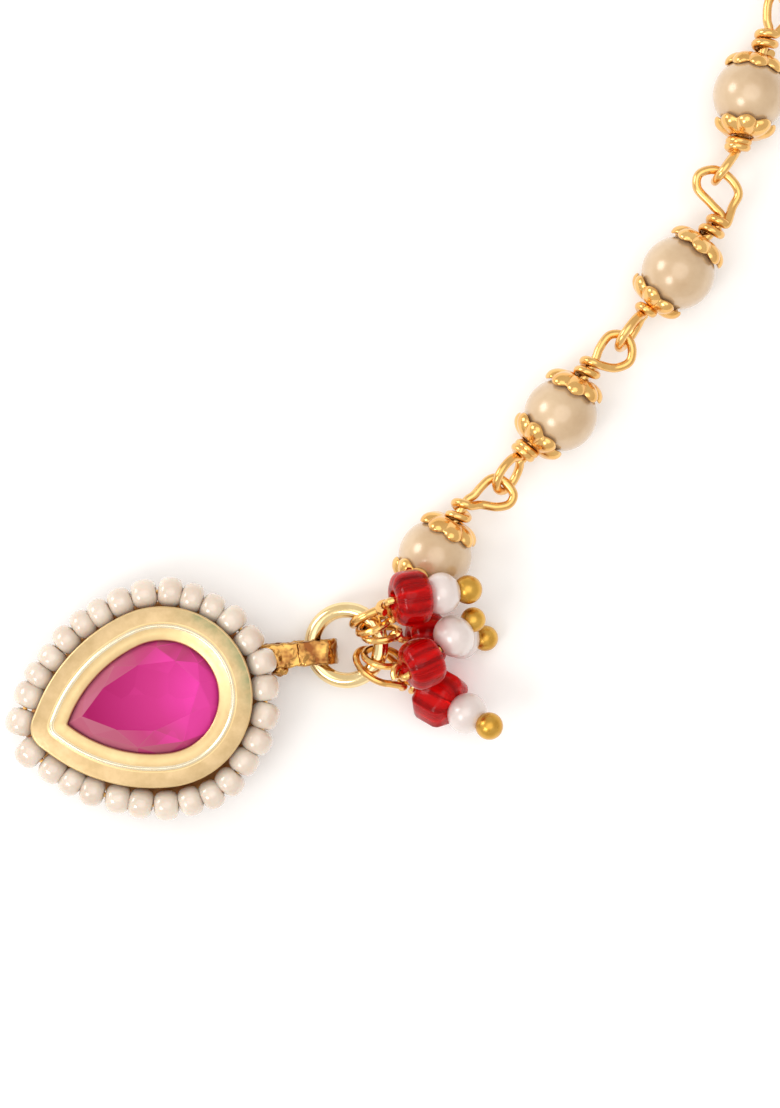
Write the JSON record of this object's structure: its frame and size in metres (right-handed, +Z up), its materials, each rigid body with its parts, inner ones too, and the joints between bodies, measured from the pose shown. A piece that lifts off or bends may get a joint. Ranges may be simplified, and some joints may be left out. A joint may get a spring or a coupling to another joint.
{
  "type": "nath nose ornament with pearl chain",
  "caption": "Teardrop stone nose jewel edged with seed beads, bead drops on a jump ring, and a chain of capped pearls that ends in a hair hook.",
  "frame": {"origin": "middle of the nose clip's flat underside, on the surface it lies on, below the middle of the stone's round end", "axes": "+Z up from the surface, towards the front of the stone; +Y along the chain towards the hair hook; +X from the stone to the drops"},
  "size_m": [0.0657, 0.0813, 0.0095],
  "materials": {
    "gold": "polished gold plate",
    "pale_gold": "satin pale gold plate",
    "pink_stone": "polished faceted deep pink",
    "seed_glass": "opaque cream white gloss",
    "red_glass": "clear red glass",
    "white_pearl": "pinkish white pearl lustre",
    "champagne_pearl": "champagne pearl lustre"
  },
  "bodies": {
    "root": {"setting": "pale_gold", "stone": "pink_stone", "seed_beads": "seed_glass", "jump_ring": "gold", "hair_hook": "gold", "drop_1_head_pin": "gold", "drop_1_red_bead": "red_glass", "drop_1_white_pearl": "white_pearl", "link_1_wire": "gold", "link_1_pearl": "champagne_pearl", "link_1_cap_upper": "gold", "link_1_cap_lower": "gold", "drop_2_head_pin": "gold", "drop_2_red_bead": "red_glass", "drop_2_white_pearl": "white_pearl", "link_2_wire": "gold", "link_2_pearl": "champagne_pearl", "link_2_cap_upper": "gold", "link_2_cap_lower": "gold", "drop_3_head_pin": "gold", "drop_3_red_bead": "red_glass", "drop_3_white_pearl": "white_pearl", "link_3_wire": "gold", "link_3_pearl": "champagne_pearl", "link_3_cap_upper": "gold", "link_3_cap_lower": "gold", "drop_4_head_pin": "gold", "drop_4_red_bead": "red_glass", "drop_4_white_pearl": "white_pearl", "link_4_wire": "gold", "link_4_pearl": "champagne_pearl", "link_4_cap_upper": "gold", "link_4_cap_lower": "gold"}
  },
  "joints": []
}
